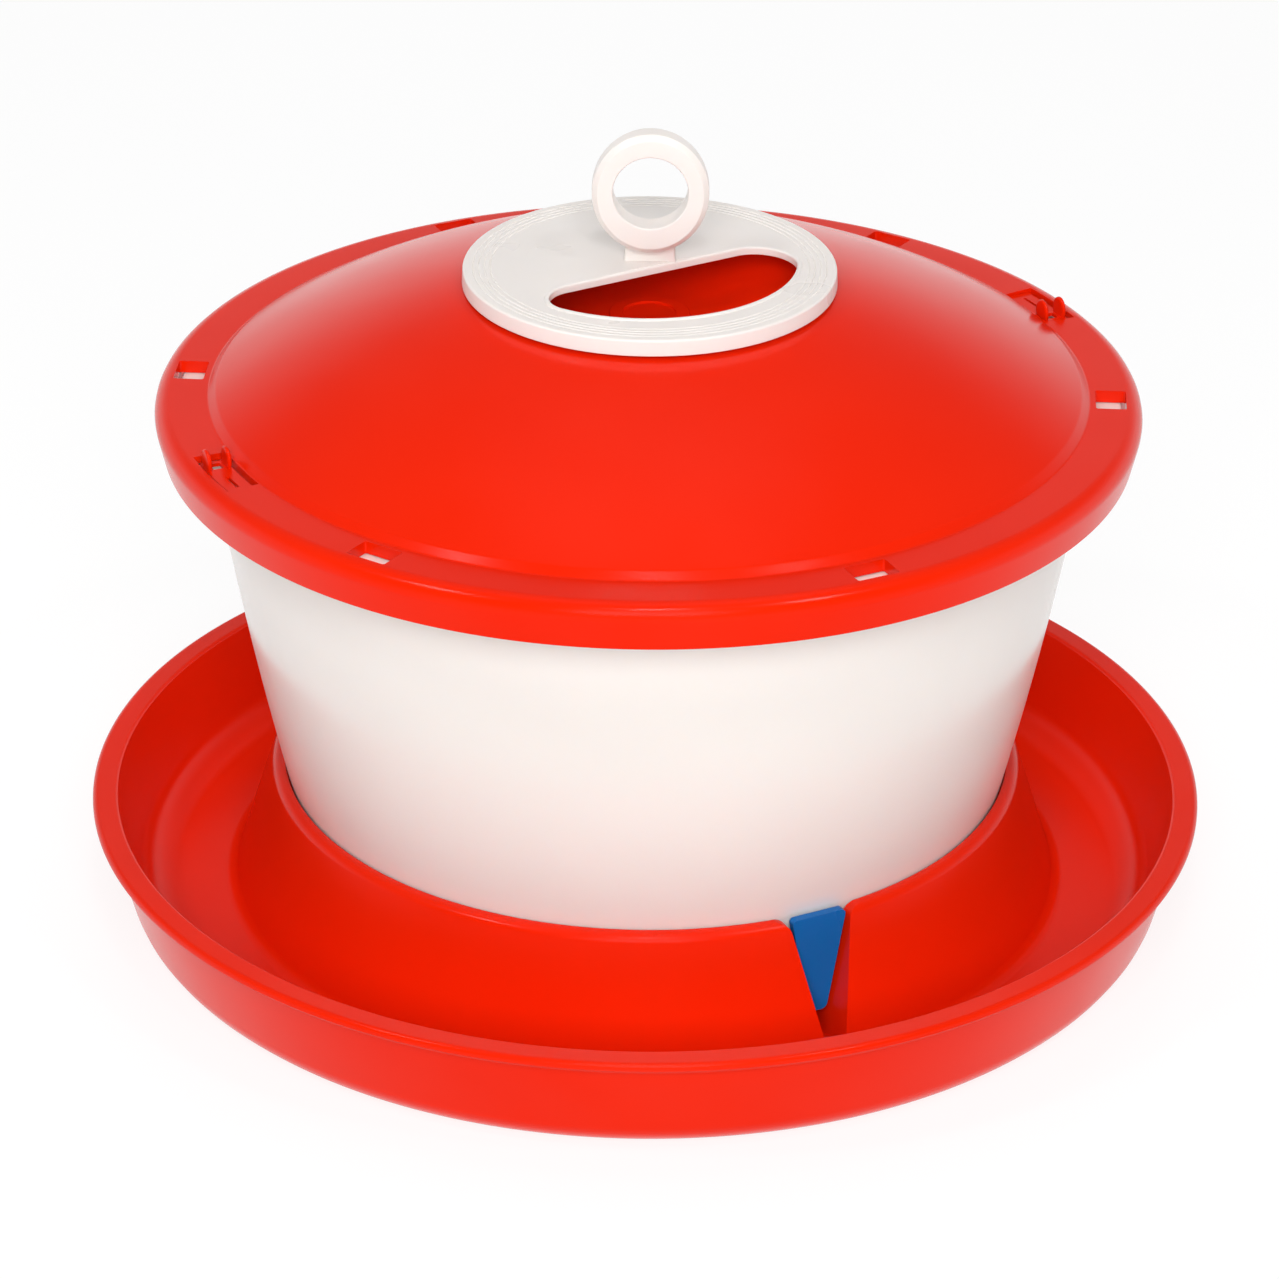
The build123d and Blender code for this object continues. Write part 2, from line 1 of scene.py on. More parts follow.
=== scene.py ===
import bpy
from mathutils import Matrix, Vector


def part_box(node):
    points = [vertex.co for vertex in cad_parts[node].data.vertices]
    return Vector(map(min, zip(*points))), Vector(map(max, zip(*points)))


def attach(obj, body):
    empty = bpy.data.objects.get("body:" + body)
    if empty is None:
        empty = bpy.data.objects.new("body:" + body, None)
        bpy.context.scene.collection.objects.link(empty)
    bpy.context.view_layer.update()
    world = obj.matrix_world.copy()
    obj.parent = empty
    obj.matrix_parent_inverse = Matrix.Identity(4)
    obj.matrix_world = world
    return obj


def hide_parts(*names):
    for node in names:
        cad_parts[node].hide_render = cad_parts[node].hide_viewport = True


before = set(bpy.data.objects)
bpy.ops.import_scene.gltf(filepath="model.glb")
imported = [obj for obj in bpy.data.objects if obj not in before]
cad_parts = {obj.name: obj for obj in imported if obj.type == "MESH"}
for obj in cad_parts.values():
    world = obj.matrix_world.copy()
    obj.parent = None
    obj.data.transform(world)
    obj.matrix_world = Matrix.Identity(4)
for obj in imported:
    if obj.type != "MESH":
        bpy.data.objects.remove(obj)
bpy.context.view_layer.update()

import math

import bmesh
import bpy
from mathutils import Matrix, Vector

# ---- Trough tray ----
# One injection moulding in red polypropylene: a round trough with a thick rim band, a raised
# conical seat for the bucket, a well in its middle and a V notch that lets the water out.

SEGMENTS = 288


def arc_through(start, middle, end, count):
    """Points after start, up to and with end, on the circle through three (r, z) points."""
    (ax, ay), (bx, by), (cx, cy) = start, middle, end
    d = 2 * (ax * (by - cy) + bx * (cy - ay) + cx * (ay - by))
    a2, b2, c2 = ax * ax + ay * ay, bx * bx + by * by, cx * cx + cy * cy
    ox = (a2 * (by - cy) + b2 * (cy - ay) + c2 * (ay - by)) / d
    oy = (a2 * (cx - bx) + b2 * (ax - cx) + c2 * (bx - ax)) / d
    radius = math.hypot(ax - ox, ay - oy)
    first = math.atan2(ay - oy, ax - ox)
    half = math.remainder(math.atan2(by - oy, bx - ox) - first, math.tau)
    rest = math.remainder(math.atan2(cy - oy, cx - ox) - first - half, math.tau)
    angles = [first + (half + rest) * k / count for k in range(1, count + 1)]
    return [(ox + radius * math.cos(a), oy + radius * math.sin(a)) for a in angles]


def rounded(corners, steps=6):
    """A closed outline from corners (x, y) or (x, y, radius), with the radii drawn as arcs."""
    points = []
    for k, corner in enumerate(corners):
        here = Vector(corner[:2])
        if len(corner) < 3:
            points.append(tuple(here))
            continue
        before = (Vector(corners[k - 1][:2]) - here).normalized()
        after = (Vector(corners[(k + 1) % len(corners)][:2]) - here).normalized()
        half_angle = before.angle(after) / 2
        reach = corner[2] / math.tan(half_angle)
        centre = here + (before + after).normalized() * corner[2] / math.sin(half_angle)
        start, end = here + before * reach - centre, here + after * reach - centre
        turn = math.atan2(start.cross(end), start.dot(end))
        for step in range(steps + 1):
            points.append(tuple(centre + Matrix.Rotation(turn * step / steps, 2) @ start))
    return points


def piece_from(name, build):
    """A new object whose mesh is made by build(bm), in millimetres."""
    bm = bmesh.new()
    build(bm)
    bmesh.ops.remove_doubles(bm, verts=bm.verts, dist=1e-4)
    bmesh.ops.recalc_face_normals(bm, faces=bm.faces)
    bmesh.ops.scale(bm, vec=(0.001, 0.001, 0.001), verts=bm.verts)
    mesh = bpy.data.meshes.new(name)
    bm.to_mesh(mesh)
    bm.free()
    piece = bpy.data.objects.new(name, mesh)
    bpy.context.scene.collection.objects.link(piece)
    return piece


def turned(name, outline, segments=SEGMENTS):
    """A body of revolution about Z from a closed (r, z) outline."""

    def build(bm):
        rings = []
        for k in range(segments):
            a = math.tau * k / segments
            rings.append([bm.verts.new((r * math.cos(a), r * math.sin(a), z)) for r, z in outline])
        for k in range(segments):
            one, two = rings[k], rings[(k + 1) % segments]
            for i in range(len(outline)):
                j = (i + 1) % len(outline)
                i_on_axis, j_on_axis = outline[i][0] < 1e-6, outline[j][0] < 1e-6
                if i_on_axis and j_on_axis:
                    continue
                if i_on_axis:
                    bm.faces.new([one[i], two[j], one[j]])
                elif j_on_axis:
                    bm.faces.new([one[i], two[i], one[j]])
                else:
                    bm.faces.new([one[i], two[i], two[j], one[j]])

    return piece_from(name, build)


def prism(bm, outline, place, depth):
    """Adds a closed outline, pushed out by depth along z, through the matrix place."""
    low = [bm.verts.new(place @ Vector((x, y, 0))) for x, y in outline]
    high = [bm.verts.new(place @ Vector((x, y, depth))) for x, y in outline]
    bm.faces.new(low[::-1])
    bm.faces.new(high)
    for k in range(len(outline)):
        j = (k + 1) % len(outline)
        bm.faces.new([low[k], low[j], high[j], high[k]])


def on_circle(radius, azimuth):
    """The point (x, y) at a radius and at an azimuth in degrees."""
    a = math.radians(azimuth)
    return radius * math.cos(a), radius * math.sin(a)


def sector(bm, r_in, r_out, low, depth, start, sweep, steps=12):
    """Adds part of a flat ring, as a block."""
    turns = [start + sweep * k / steps for k in range(steps + 1)]
    outline = [on_circle(r_in, a) for a in turns] + [on_circle(r_out, a) for a in turns[::-1]]
    prism(bm, outline, Matrix.Translation((0, 0, low)), depth)


def round_bar(bm, x, y, radius, low, depth, steps=48):
    """Adds a round upright bar."""
    turns = [math.tau * k / steps for k in range(steps)]
    outline = [(x + radius * math.cos(a), y + radius * math.sin(a)) for a in turns]
    prism(bm, outline, Matrix.Translation((0, 0, low)), depth)


def outward(azimuth, radius):
    """Matrix whose z points outward at an azimuth, x along the circle and y up."""
    out = Vector((*on_circle(1, azimuth), 0))
    along = Vector((-out.y, out.x, 0))
    turn = Matrix((along, Vector((0, 0, 1)), out)).transposed().to_4x4()
    return Matrix.Translation(out * radius) @ turn


def upright(azimuth, radius, z):
    """Matrix whose x points outward at an azimuth and whose z is up."""
    turn = Matrix.Rotation(math.radians(azimuth), 4, "Z")
    return turn @ Matrix.Translation((radius, 0, z))


def apply_modifier(piece, modifier):
    """Fixes a modifier's result in the piece's mesh."""
    bpy.context.view_layer.objects.active = piece
    with bpy.context.temp_override(object=piece, active_object=piece):
        bpy.ops.object.modifier_apply(modifier=modifier.name)


def combine(piece, tool, how):
    """Cuts, joins or intersects a piece with a tool, which is used up."""
    step = piece.modifiers.new("combine", "BOOLEAN")
    step.operation = how
    step.solver = "EXACT"
    step.object = tool
    apply_modifier(piece, step)
    bpy.data.objects.remove(tool)


def join(piece, build):
    """Adds to a piece what build(bm) makes."""
    combine(piece, piece_from("addition", build), "UNION")


def cut(piece, build):
    """Takes from a piece what build(bm) makes."""
    combine(piece, piece_from("cutter", build), "DIFFERENCE")


def finish_surface(piece, material, angle=32):
    """Smooth shading that keeps true edges sharp and flat faces flat."""
    piece.data.shade_smooth()
    piece.data.set_sharp_from_angle(angle=math.radians(angle))
    weighted = piece.modifiers.new("weighted", "WEIGHTED_NORMAL")
    weighted.keep_sharp = True
    weighted.weight = 80
    apply_modifier(piece, weighted)
    coat(piece.data, material)


def coat(mesh, material):
    """Gives a mesh one material."""
    mesh.materials.clear()
    mesh.materials.append(material)


def linear(hex_colour):
    """An sRGB hex colour as linear RGBA."""
    parts = [int(hex_colour[k:k + 2], 16) / 255 for k in (1, 3, 5)]
    return tuple(c / 12.92 if c <= 0.04045 else ((c + 0.055) / 1.055) ** 2.4 for c in parts) + (1,)


def add_node(tree, kind, inputs=None, **settings):
    """A node with its settings, and inputs given as values or as (node, output) links."""
    node = tree.nodes.new(kind)
    for key, value in settings.items():
        setattr(node, key, value)
    for key, value in (inputs or {}).items():
        if isinstance(value, tuple) and isinstance(value[0], bpy.types.Node):
            tree.links.new(value[0].outputs[value[1]], node.inputs[key])
        else:
            node.inputs[key].default_value = value
    return node


def empty_material(name):
    """A new material, and its node tree with nothing in it."""
    material = bpy.data.materials.new(name)
    material.use_nodes = True
    material.node_tree.nodes.clear()
    return material, material.node_tree


def moulded_polypropylene(name, deep, bright, roughness, specular=0.5, see_in=0.0, swell=0.1):
    """Moulded polypropylene: slow tone drift from the melt's flow, gloss that is a little
    uneven where the mould was polished by hand, and the shallow sink of a thick wall."""
    flow_length, polish_length, sink_length = 0.06, 0.03, 0.02
    sink_depth = 0.0006
    material, tree = empty_material(name)
    place = add_node(tree, "ShaderNodeTexCoord")
    flow = add_node(tree, "ShaderNodeTexNoise", {
        "Vector": (place, "Object"), "Scale": 1 / flow_length, "Detail": 2.0, "Roughness": 0.4})
    tone = add_node(tree, "ShaderNodeMix", {
        "Factor": (flow, "Fac"), "A": linear(deep), "B": linear(bright)}, data_type="RGBA")
    polish = add_node(tree, "ShaderNodeTexNoise", {
        "Vector": (place, "Object"), "Scale": 1 / polish_length, "Detail": 2.0, "Roughness": 0.5})
    gloss = add_node(tree, "ShaderNodeMapRange", {
        "Value": (polish, "Fac"), "From Min": 0.3, "From Max": 0.7,
        "To Min": roughness * 0.88, "To Max": roughness * 1.14})
    sink = add_node(tree, "ShaderNodeTexNoise", {
        "Vector": (place, "Object"), "Scale": 1 / sink_length, "Detail": 0.0})
    relief = add_node(tree, "ShaderNodeBump", {
        "Height": (sink, "Fac"), "Strength": swell, "Distance": sink_depth})
    shader = add_node(tree, "ShaderNodeBsdfPrincipled", {
        "Base Color": (tone, "Result"), "Roughness": (gloss, "Result"),
        "Normal": (relief, "Normal"), "IOR": 1.49, "Specular IOR Level": specular,
        "Subsurface Weight": see_in, "Subsurface Radius": (0.006, 0.005, 0.004),
        "Subsurface Scale": 1.0})
    add_node(tree, "ShaderNodeOutputMaterial", {"Surface": (shader, "BSDF")})
    return material


# Red moulded polypropylene: a saturated orange red with a soft gloss.
tray_red = moulded_polypropylene("moulded red polypropylene", "#e21f02", "#e82403", 0.24, 0.2)

rim_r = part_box("trough_base")[1].x * 1000
rim_top = 42.0
rim_width = 9.0
band_foot = rim_top - 4.5
floor_top = 4.5
floor_under = 1.5
wall_thickness = 4.6
wall_lean = 0.26
wall_in = rim_r - rim_width
wall_out = wall_in + wall_thickness
wall_foot_in = wall_in - (rim_top - floor_top) * wall_lean
wall_foot_out = wall_out - band_foot * wall_lean
foot_in_r = 166.0
seat_top = 52.0
seat_in_r = 130.5
shoulder_r = 134.6
seat_foot_r = 149.8
ledge = 44.0
ledge_under = 41.0
well_r = 98.0

tray = turned("tray", rounded([
    (0, floor_top), (well_r - 1, floor_top, 2), (well_r + 1, ledge, 0.8),
    (seat_in_r - 0.4, ledge), (seat_in_r, seat_top, 0.5), (shoulder_r, seat_top, 4),
    (seat_foot_r, floor_top, 5), (wall_foot_in, floor_top, 13),
    (wall_in, rim_top, 1.5), (rim_r, rim_top, 2), (rim_r, band_foot + 2), (rim_r - 2, band_foot),
    (wall_out, band_foot, 0.6), (wall_foot_out, 0, 13),
    (foot_in_r, 0, 0.4), (foot_in_r - 1, floor_under, 0.4), (seat_foot_r - 3, floor_under, 2),
    (shoulder_r + 0.5, ledge_under, 2), (well_r + 4, ledge_under, 2),
    (well_r + 2, floor_under, 2), (0, floor_under),
]))

notch_azimuth = -63.5
notch_narrow = 3.0
notch_wide = 11.6
notch_shoulder = seat_top - 1.5
channel_wall = 3.0
cut_reach = 60.0


def notch_half(height):
    """Half width of the V notch at a height."""
    share = (height - floor_top) / (notch_shoulder - floor_top)
    return notch_narrow + share * (notch_wide - notch_narrow)


channel_foot = notch_narrow + channel_wall
channel_head = notch_half(ledge) + channel_wall
channel = piece_from("channel", lambda bm: prism(bm, [
    (-channel_foot, floor_under + 0.1), (channel_foot, floor_under + 0.1),
    (channel_head, ledge - 0.2), (-channel_head, ledge - 0.2),
], outward(notch_azimuth, well_r), cut_reach))
seat_cone = turned("seat_cone", [
    (0, 0), (seat_foot_r + 0.2, 0), (seat_foot_r - 1.4, floor_top), (seat_foot_r - 2.5, 9),
    (shoulder_r - 0.5, seat_top), (0, seat_top)])
combine(channel, seat_cone, "INTERSECT")
combine(tray, channel, "UNION")
notch_outline = rounded([
    (-notch_narrow, floor_top), (notch_narrow, floor_top), (notch_wide, notch_shoulder, 4),
    (notch_wide + 5, seat_top + 0.3), (notch_wide + 5, seat_top + 8),
    (-notch_wide - 5, seat_top + 8), (-notch_wide - 5, seat_top + 0.3),
    (-notch_wide, notch_shoulder, 4)])
cut(tray, lambda bm: prism(bm, notch_outline, outward(notch_azimuth, well_r - 4), cut_reach))

stud_r = 112.0
stud_azimuths = (0, 120, 240)
bucket_turn = 40.0
slot_half = 2.6
entry_r = 5.75
slot_low, slot_depth = 39.0, 8.0
for azimuth in stud_azimuths:
    cut(tray, lambda bm: sector(
        bm, stud_r - slot_half, stud_r + slot_half, slot_low, slot_depth, azimuth, bucket_turn, 20))
    cut(tray, lambda bm: round_bar(bm, *on_circle(stud_r, azimuth), entry_r, slot_low, slot_depth))
finish_surface(tray, tray_red)
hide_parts("trough_base")
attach(tray, "tray")

# ---- Valve ----
# A blue moulded disc turns on a white snap pin under the bucket's floor, against a rubber
# washer. Its long arm ends in a tapered key that stands in the tray's notch.

# Blue moulded polypropylene: a deep even blue, a little duller than the red.
key_blue = moulded_polypropylene("moulded blue polypropylene", "#0062ac", "#0069b4", 0.28, 0.25)
# White moulded polypropylene: a warm white with an ordinary moulded gloss.
pin_white = moulded_polypropylene("moulded white polypropylene", "#e9e2dc", "#f2ece7", 0.32)


def moulded_rubber(name):
    """Moulded nitrile rubber: nearly black and dull, with a powdery bloom in soft clouds."""
    clouds_per_metre = 120.0
    cloud_relief = 0.0001
    material, tree = empty_material(name)
    place = add_node(tree, "ShaderNodeTexCoord")
    bloom = add_node(tree, "ShaderNodeTexNoise", {
        "Vector": (place, "Object"), "Scale": clouds_per_metre, "Detail": 4.0})
    tone = add_node(tree, "ShaderNodeMix", {
        "Factor": (bloom, "Fac"), "A": linear("#1b1b1c"), "B": linear("#323234")},
        data_type="RGBA")
    relief = add_node(tree, "ShaderNodeBump", {
        "Height": (bloom, "Fac"), "Strength": 0.2, "Distance": cloud_relief})
    shader = add_node(tree, "ShaderNodeBsdfPrincipled", {
        "Base Color": (tone, "Result"), "Roughness": 0.7, "Normal": (relief, "Normal")})
    add_node(tree, "ShaderNodeOutputMaterial", {"Surface": (shader, "BSDF")})
    return material


seal_black = moulded_rubber("moulded nitrile rubber")

coat(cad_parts["valve_disc"].data, key_blue)
coat(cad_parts["valve_pivot_pin"].data, pin_white)
coat(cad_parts["valve_seal"].data, seal_black)

# ---- Bucket ----
# One moulding in natural polypropylene, off-white and slightly see-through: a barrelled cone
# with a flat rim, six lugs for the lid and three mushroom studs that lock it to the tray.

# Natural polypropylene: a milky off-white that light goes a few millimetres into.
bucket_white = moulded_polypropylene(
    "moulded natural polypropylene", "#e9e3dd", "#eee9e3", 0.2, see_in=0.2)

bucket_rim_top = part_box("reservoir_bucket")[1].z * 1000
bucket_rim_under = bucket_rim_top - 2.5
bucket_rim_r = 165.0
bucket_mouth_r = 149.4
bucket_wall = 2.2
bucket_floor = ledge + 2.5
bucket_top_r = 155.0
bucket_middle_r, bucket_middle = 142.6, 112.0
bucket_foot_r = 128.2
inner_top = (bucket_top_r - bucket_wall, bucket_rim_under - 1.5)
inner_foot = (bucket_foot_r - bucket_wall + 0.4, bucket_floor)

outer_wall = arc_through(
    (bucket_foot_r, ledge), (bucket_middle_r, bucket_middle), (bucket_top_r, bucket_rim_under), 40)
inner_wall = arc_through(
    inner_top, (bucket_middle_r - bucket_wall, bucket_middle), inner_foot, 40)
bucket = turned("bucket", rounded([
    (0, ledge), (bucket_foot_r, ledge, 3), *outer_wall[1:],
    (bucket_rim_r, bucket_rim_under, 0.5), (bucket_rim_r, bucket_rim_top, 0.8),
    (bucket_mouth_r, bucket_rim_top, 0.6), (bucket_mouth_r, bucket_rim_under),
    inner_top, *inner_wall[:-1], (*inner_foot, 3), (0, bucket_floor),
]))

hook_azimuth = 56.7
lid_turn = 24.0


def lugs(bm):
    """Six lugs under the rim."""
    for k in range(6):
        start = hook_azimuth - lid_turn + 60 * k - 4.2
        sector(bm, bucket_rim_r - 1, bucket_rim_r + 1.9, bucket_rim_under - 0.7, 3.2, start, 7.6)


def lug_stops(bm):
    """The stops on the lugs that end the lid's turn."""
    for k in range(6):
        start = hook_azimuth - lid_turn + 60 * k - 3.7
        sector(bm, bucket_rim_r - 1, bucket_rim_r + 1.8, bucket_rim_under - 5, 5.5, start, 0.6)


join(bucket, lugs)
join(bucket, lug_stops)

stud_neck_r, stud_head_r = 2.0, 4.5
stud_foot, stud_head = 38.0, 40.5
for azimuth in stud_azimuths:
    stud = turned("stud", rounded([
        (0, ledge + 1), (stud_neck_r, ledge + 1), (stud_neck_r, stud_head),
        (stud_head_r, stud_head, 0.5), (stud_head_r, stud_foot, 0.8), (0, stud_foot)]), 40)
    stud.data.transform(Matrix.Translation((*on_circle(stud_r * 0.001, azimuth), 0)))
    combine(bucket, stud, "UNION")

port_offset, port_r = 24, 6
pin_hole_r = 4.05


def ports(bm):
    """Two outlet ports through the floor."""
    for y in (port_offset, -port_offset):
        round_bar(bm, 0, y, port_r, ledge - 4, 10)


cut(bucket, ports)
cut(bucket, lambda bm: round_bar(bm, 0, 0, pin_hole_r, ledge - 4, 10))
finish_surface(bucket, bucket_white)
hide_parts("reservoir_bucket")
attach(bucket, "bucket")

# ---- Lid gasket ----
# A flat rubber ring in the lid's seat, of the same black rubber as the valve's washer. The lid
# presses it on the bucket's rim, which keeps air out and so holds the water up.

coat(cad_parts["lid_gasket"].data, seal_black)

# ---- Lid ----
# One glossy red moulding: a shallow dome with a dish at its top, a flat flange with a skirt,
# and six hooks, each under a square window that the mould's core passed through.

# Red polypropylene from a polished mould: the tray's red, smoother and with less sink.
lid_red = moulded_polypropylene(
    "polished red polypropylene", "#e21f02", "#e82403", 0.2, 0.2, swell=0.06)

skirt_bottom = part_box("lid_shell")[0].z * 1000
lid_r = 173.2
flange_top = 195.0
flange_under = flange_top - 2.5
dome_foot_r = 153.4
dome_shoulder = (150.6, 197.6)
dome_top = (64.0, 233.0)
dome_under = (63.3, 230.7)
dish_edge = (57.6, 234)
dish_floor = 222.0
dish_floor_r = 14.0
gate_r, gate_height = 9.2, 0.8
seat_wall_out, seat_wall_in, seat_wall_foot = 147.3, 145.2, 184.0
seat_wall_head = (seat_wall_in, 196.2)
collar_bottom = 190.6
cap_top = 240.0
cap_bottom = cap_top - 5.8
snap_r = 60.2

dish = arc_through((dish_floor_r, dish_floor), (40, 225.4), dish_edge, 16)
dome = arc_through(dome_top, (109.0, 218.4), dome_shoulder, 40)
under_dome = arc_through(seat_wall_head, (108.6, 216.1), dome_under, 30)
under_dish = arc_through(dome_under, (41, 222.9), (dish_floor_r, 219.6), 16)
lid = turned("lid", rounded([
    (0, 219.6), (0, dish_floor), (gate_r, dish_floor, 0.2), (gate_r, dish_floor + gate_height, 0.3),
    (dish_floor_r, dish_floor + gate_height, 0.4), (dish_floor_r, dish_floor, 0.2), *dish[:-1],
    dish_edge, (dish_edge[0], cap_bottom + 2.1, 0.5), (snap_r, cap_bottom + 2.1, 0.4),
    (snap_r, cap_bottom + 1.4), (snap_r + 0.6, cap_bottom + 1.0), (snap_r + 0.6, cap_bottom + 0.7),
    (snap_r, cap_bottom + 0.5), (snap_r, dome_top[1] + 0.3), dome_top, *dome[:-1],
    (*dome_shoulder, 5), (dome_foot_r, flange_top, 1.2), (lid_r, flange_top, 5.2),
    (169.4, skirt_bottom, 0.6), (167.4, skirt_bottom, 0.4),
    (169.1, flange_under - 3), (167.4, flange_under),
    (154.0, flange_under), (154.0, collar_bottom), (153.0, collar_bottom), (153.0, flange_under),
    (seat_wall_out, flange_under), (seat_wall_out, seat_wall_foot, 0.4),
    (seat_wall_in, seat_wall_foot, 0.4), seat_wall_head, *under_dome, *under_dish[:-1],
    (dish_floor_r, 219.6),
]))


def rectangle(half_x, half_y, corner):
    """A rectangle round the origin with rounded corners."""
    return rounded([(-half_x, -half_y, corner), (half_x, -half_y, corner),
                    (half_x, half_y, corner), (-half_x, half_y, corner)], 4)


def six_blocks(half_x, half_y, corner, radius, low, depth):
    """A build that adds a rounded block at each of the six hooks."""

    def build(bm):
        for k in range(6):
            place = upright(hook_azimuth + 60 * k, radius, low)
            prism(bm, rectangle(half_x, half_y, corner), place, depth)

    return build


hook_r, hook_foot, hook_height = 167.2, 183.7, 3
collar_r, window_r = 161.05, 160.75
join(lid, six_blocks(1.7, 6, 0.3, hook_r, hook_foot, hook_height))
join(lid, six_blocks(6.2, 8.8, 0.6, collar_r, collar_bottom, 3))
cut(lid, six_blocks(5.3, 7.6, 0.8, window_r, collar_bottom - 1, 10))

tongue_root = 32.7
tongue_span = 9.4
tongue_in = 155.4
tongue_out = 164.3
tongue_slit = 1.4
tongue_end_gap = 1.0


def tongue_openings(bm):
    """Openings round the two spring tongues."""
    sweep = tongue_span + tongue_end_gap
    for side in (0, 180):
        sector(bm, tongue_in - tongue_slit, tongue_out + tongue_slit, flange_under - 0.5, 6,
               tongue_root + side - sweep, sweep)


cut(lid, tongue_openings)
finish_surface(lid, lid_red)
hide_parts("lid_shell")
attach(lid, "lid")

# ---- Spring tongues ----
# Two strips of the flange, cut free on three sides, that lift by two rounded finger fins.
# A short slot at the root makes them supple, and a small square window sits between the fins.

strip_thickness = 1.2
root_seam = 0.09
tongue_middle = (tongue_in + tongue_out) / 2
supple_slot_half = 0.6
fin_azimuth = 24.8
fin_inset = 0.95
fin_height = 5.4
fin_length = 8.0
fin_thickness = 1.8
fin_sunk = 2.0


def skin(bm, loops, around=False):
    """Faces between neighbouring loops of vertices, and from the last loop to the first."""
    pairs = list(zip(loops, loops[1:]))
    if around:
        pairs.append((loops[-1], loops[0]))
    for one, two in pairs:
        for k in range(len(one)):
            j = (k + 1) % len(one)
            bm.faces.new([one[k], one[j], two[j], two[k]])


def fin(bm, azimuth, radius):
    """An upright oval fin with rounded flanks, cut off at the strip."""
    middle = fin_height / 2 - fin_sunk
    place = outward(azimuth, radius) @ Matrix.Translation((0, flange_top + middle, 0))
    lowest = flange_under + 1 - flange_top - middle
    rows, columns = 20, 28
    loops = []
    for i in range(rows + 1):
        polar = -math.pi / 2 + math.pi * i / rows
        flank = math.copysign(abs(math.sin(polar)) ** 0.6, math.sin(polar))
        spread = abs(math.cos(polar)) ** 0.5
        loop = []
        for j in range(columns):
            a = math.tau * j / columns
            x = spread * math.cos(a) * fin_length / 2
            y = max(spread * math.sin(a) * (fin_height / 2 + fin_sunk), lowest)
            loop.append(bm.verts.new(place @ Vector((x, y, flank * fin_thickness / 2))))
        loops.append(loop)
    skin(bm, loops)


def spring_tongue(name, side, node, body):
    """One tongue with its two fins."""
    start = tongue_root + side - tongue_span
    tongue = piece_from(name, lambda bm: sector(
        bm, tongue_in, tongue_out, flange_under, strip_thickness, start, tongue_span - root_seam, 16))
    cut(tongue, lambda bm: sector(
        bm, tongue_middle - supple_slot_half, tongue_middle + supple_slot_half, flange_under - 1, 5,
        start + tongue_span - 4.6, 3.2))
    cut(tongue, lambda bm: prism(
        bm, rectangle(1.8, 2.2, 0.3), upright(fin_azimuth + side, tongue_middle, flange_under - 1), 5))
    for fin_r in (tongue_in + fin_inset, tongue_out - fin_inset):
        join(tongue, lambda bm: fin(bm, fin_azimuth + side, fin_r))
    finish_surface(tongue, lid_red, 40)
    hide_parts(node)
    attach(tongue, body)


spring_tongue("rear_tongue_strip", 0, "latch_tongue_rear", "rear_tongue")
spring_tongue("front_tongue_strip", 180, "latch_tongue_front", "front_tongue")

# ---- Hanger cap ----
# One white moulding that snaps over the lid's collar: a disc with four fine grooves, a
# half-moon finger opening with a rolled lip, and an upright ring on a flared neck.

# White moulded polypropylene: a warm white, duller than the bucket and a little see-through.
cap_white = moulded_polypropylene(
    "moulded white polypropylene cap", "#ebe4df", "#f0eae5", 0.3, see_in=0.12)

cap_r = 64.5
cap_plate = 2.5
plate_under = cap_top - cap_plate
plate_r = 61.3
crown_r = 50.0
crown_height = 1.6
groove_half, groove_depth = 0.35, 0.3


def crown(r):
    """Height of the cap's crown at a radius."""
    return crown_height * max(0, 1 - (r / crown_r) ** 2)


grooves = []
for groove_r in (55, 57, 59, 61):
    grooves += [(groove_r - groove_half, cap_top), (groove_r, cap_top - groove_depth),
                (groove_r + groove_half, cap_top)]
crown_line = [(crown_r * k / 14, cap_top + crown(crown_r * k / 14)) for k in range(15)]
under_line = [(r, z - cap_plate) for r, z in crown_line[::-1]]
cap = turned("cap", rounded([
    *crown_line, *grooves, (cap_r, cap_top, 0.9), (cap_r + 0.3, cap_bottom, 0.4),
    (60.5, cap_bottom), (60.5, cap_bottom + 0.4), (plate_r, cap_bottom + 0.8),
    (plate_r, plate_under), *under_line,
]))

finger_r = 52.3
finger_chord = 4.2
finger_centre = Vector((1.6, 5.4))
finger_tips = ((1, 13), (-1, 10))
finger_turn = Matrix.Rotation(math.radians(30.0), 4, "Z")
lip_width = 1.9
lip_height = 0.5


def half_moon(grow):
    """The finger opening's outline, grown by a margin: a straight back edge, two rounded tips
    and a round front."""
    radius = finger_r + grow
    edge = -finger_chord + grow
    tips = []
    for side, plain_r in finger_tips:
        tip_r = plain_r + grow
        y = edge - tip_r
        x = finger_centre.x + side * math.sqrt((radius - tip_r) ** 2 - (y - finger_centre.y) ** 2)
        touch = math.atan2(y - finger_centre.y, x - finger_centre.x)
        tips.append((x, y, tip_r, touch if side > 0 else touch + math.tau))
    outline = []
    for x, y, tip_r, touch in tips:
        turns = [touch + (math.pi / 2 - touch) * k / 14 for k in range(15)]
        if x < finger_centre.x:
            turns.reverse()
        outline += [(x + tip_r * math.cos(a), y + tip_r * math.sin(a)) for a in turns]
    start, end = tips[1][3], tips[0][3] + math.tau
    for k in range(1, 72):
        a = start + (end - start) * k / 72
        outline.append((finger_centre.x + radius * math.cos(a), finger_centre.y + radius * math.sin(a)))
    return outline


def lip(bm):
    """The lip swept round the finger opening, as high over the crown as over the flat."""
    top = cap_top + lip_height
    section = rounded([(0, plate_under, 0.4), (lip_width, plate_under, 0.4),
                       (lip_width, top, 0.8), (0, top, 0.8)], 5)
    loops = []
    for grow, z in section:
        loops.append([bm.verts.new(finger_turn @ Vector((x, y, z + crown(math.hypot(x, y)))))
                      for x, y in half_moon(grow)])
    skin(bm, loops, around=True)


